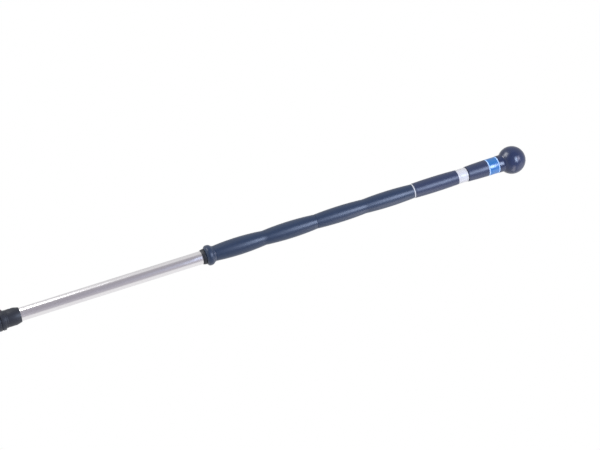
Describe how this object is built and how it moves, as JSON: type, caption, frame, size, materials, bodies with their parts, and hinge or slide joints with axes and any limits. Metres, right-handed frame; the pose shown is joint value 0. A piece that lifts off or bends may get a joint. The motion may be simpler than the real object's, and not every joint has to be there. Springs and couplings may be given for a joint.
{
  "type": "telescopic pole handle",
  "caption": "Telescopic aluminium cleaning-pole handle with a wave grip, a twist lock and a turning ball knob with a colour ring.",
  "frame": {"origin": "centre of the lower tube's open end, where a tool's socket slides on", "axes": "+Z along the pole from the tool end to the ball knob; +X along the latch pin's cross hole"},
  "size_m": [0.05, 0.05, 1.1],
  "materials": {
    "satin_aluminium": "satin drawn tube",
    "navy_grip": "satin moulded, soft touch",
    "navy_knob": "satin moulded",
    "navy_ball": "polished",
    "pale_ring": "natural, slightly translucent",
    "pale_rim": "moulded",
    "blue_ring": "moulded",
    "dark_plastic": "moulded",
    "lock_plastic": "satin moulded",
    "natural_plastic": "natural acetal",
    "black_rubber": "matte",
    "bright_steel": "plated"
  },
  "bodies": {
    "lower_section": {"lower_tube": "satin_aluminium", "tool_end_plug": "dark_plastic", "stop_collar": "lock_plastic", "guide_bush": "natural_plastic", "guide_seal": "black_rubber"},
    "upper_section": {"lock_collet": "natural_plastic", "lock_housing": "lock_plastic", "upper_tube": "satin_aluminium", "lock_rivets": "bright_steel", "grip_end_ring": "dark_plastic", "hand_stop": "navy_grip", "wave_grip": "navy_grip", "divider_ring": "pale_ring", "upper_sleeve": "navy_grip", "bearing_collar": "pale_ring", "collar_pins": "bright_steel", "thrust_washer": "dark_plastic"},
    "lock_ring": {"lock_nut": "lock_plastic", "nut_band": "black_rubber", "wiper_ring": "black_rubber"},
    "knob": {"spindle": "bright_steel", "spindle_washer": "bright_steel", "knob_core": "dark_plastic", "knob_neck": "navy_knob", "lower_rim": "pale_rim", "colour_ring": "blue_ring", "upper_rim": "pale_rim", "ball_knob": "navy_ball"}
  },
  "joints": [
    {"name": "extension", "type": "slide", "parent": "lower_section", "child": "upper_section", "axis": [0, 0, 1], "range_m": [0, 0.6]},
    {"name": "lock_twist", "type": "hinge", "parent": "upper_section", "child": "lock_ring", "pos_m": [0, 0, 0.1], "axis": [0, 0, 1], "range_deg": [0, 90]},
    {"name": "knob_turn", "type": "hinge", "parent": "upper_section", "child": "knob", "pos_m": [0, 0, 1.03], "axis": [0, 0, 1], "continuous": true}
  ]
}
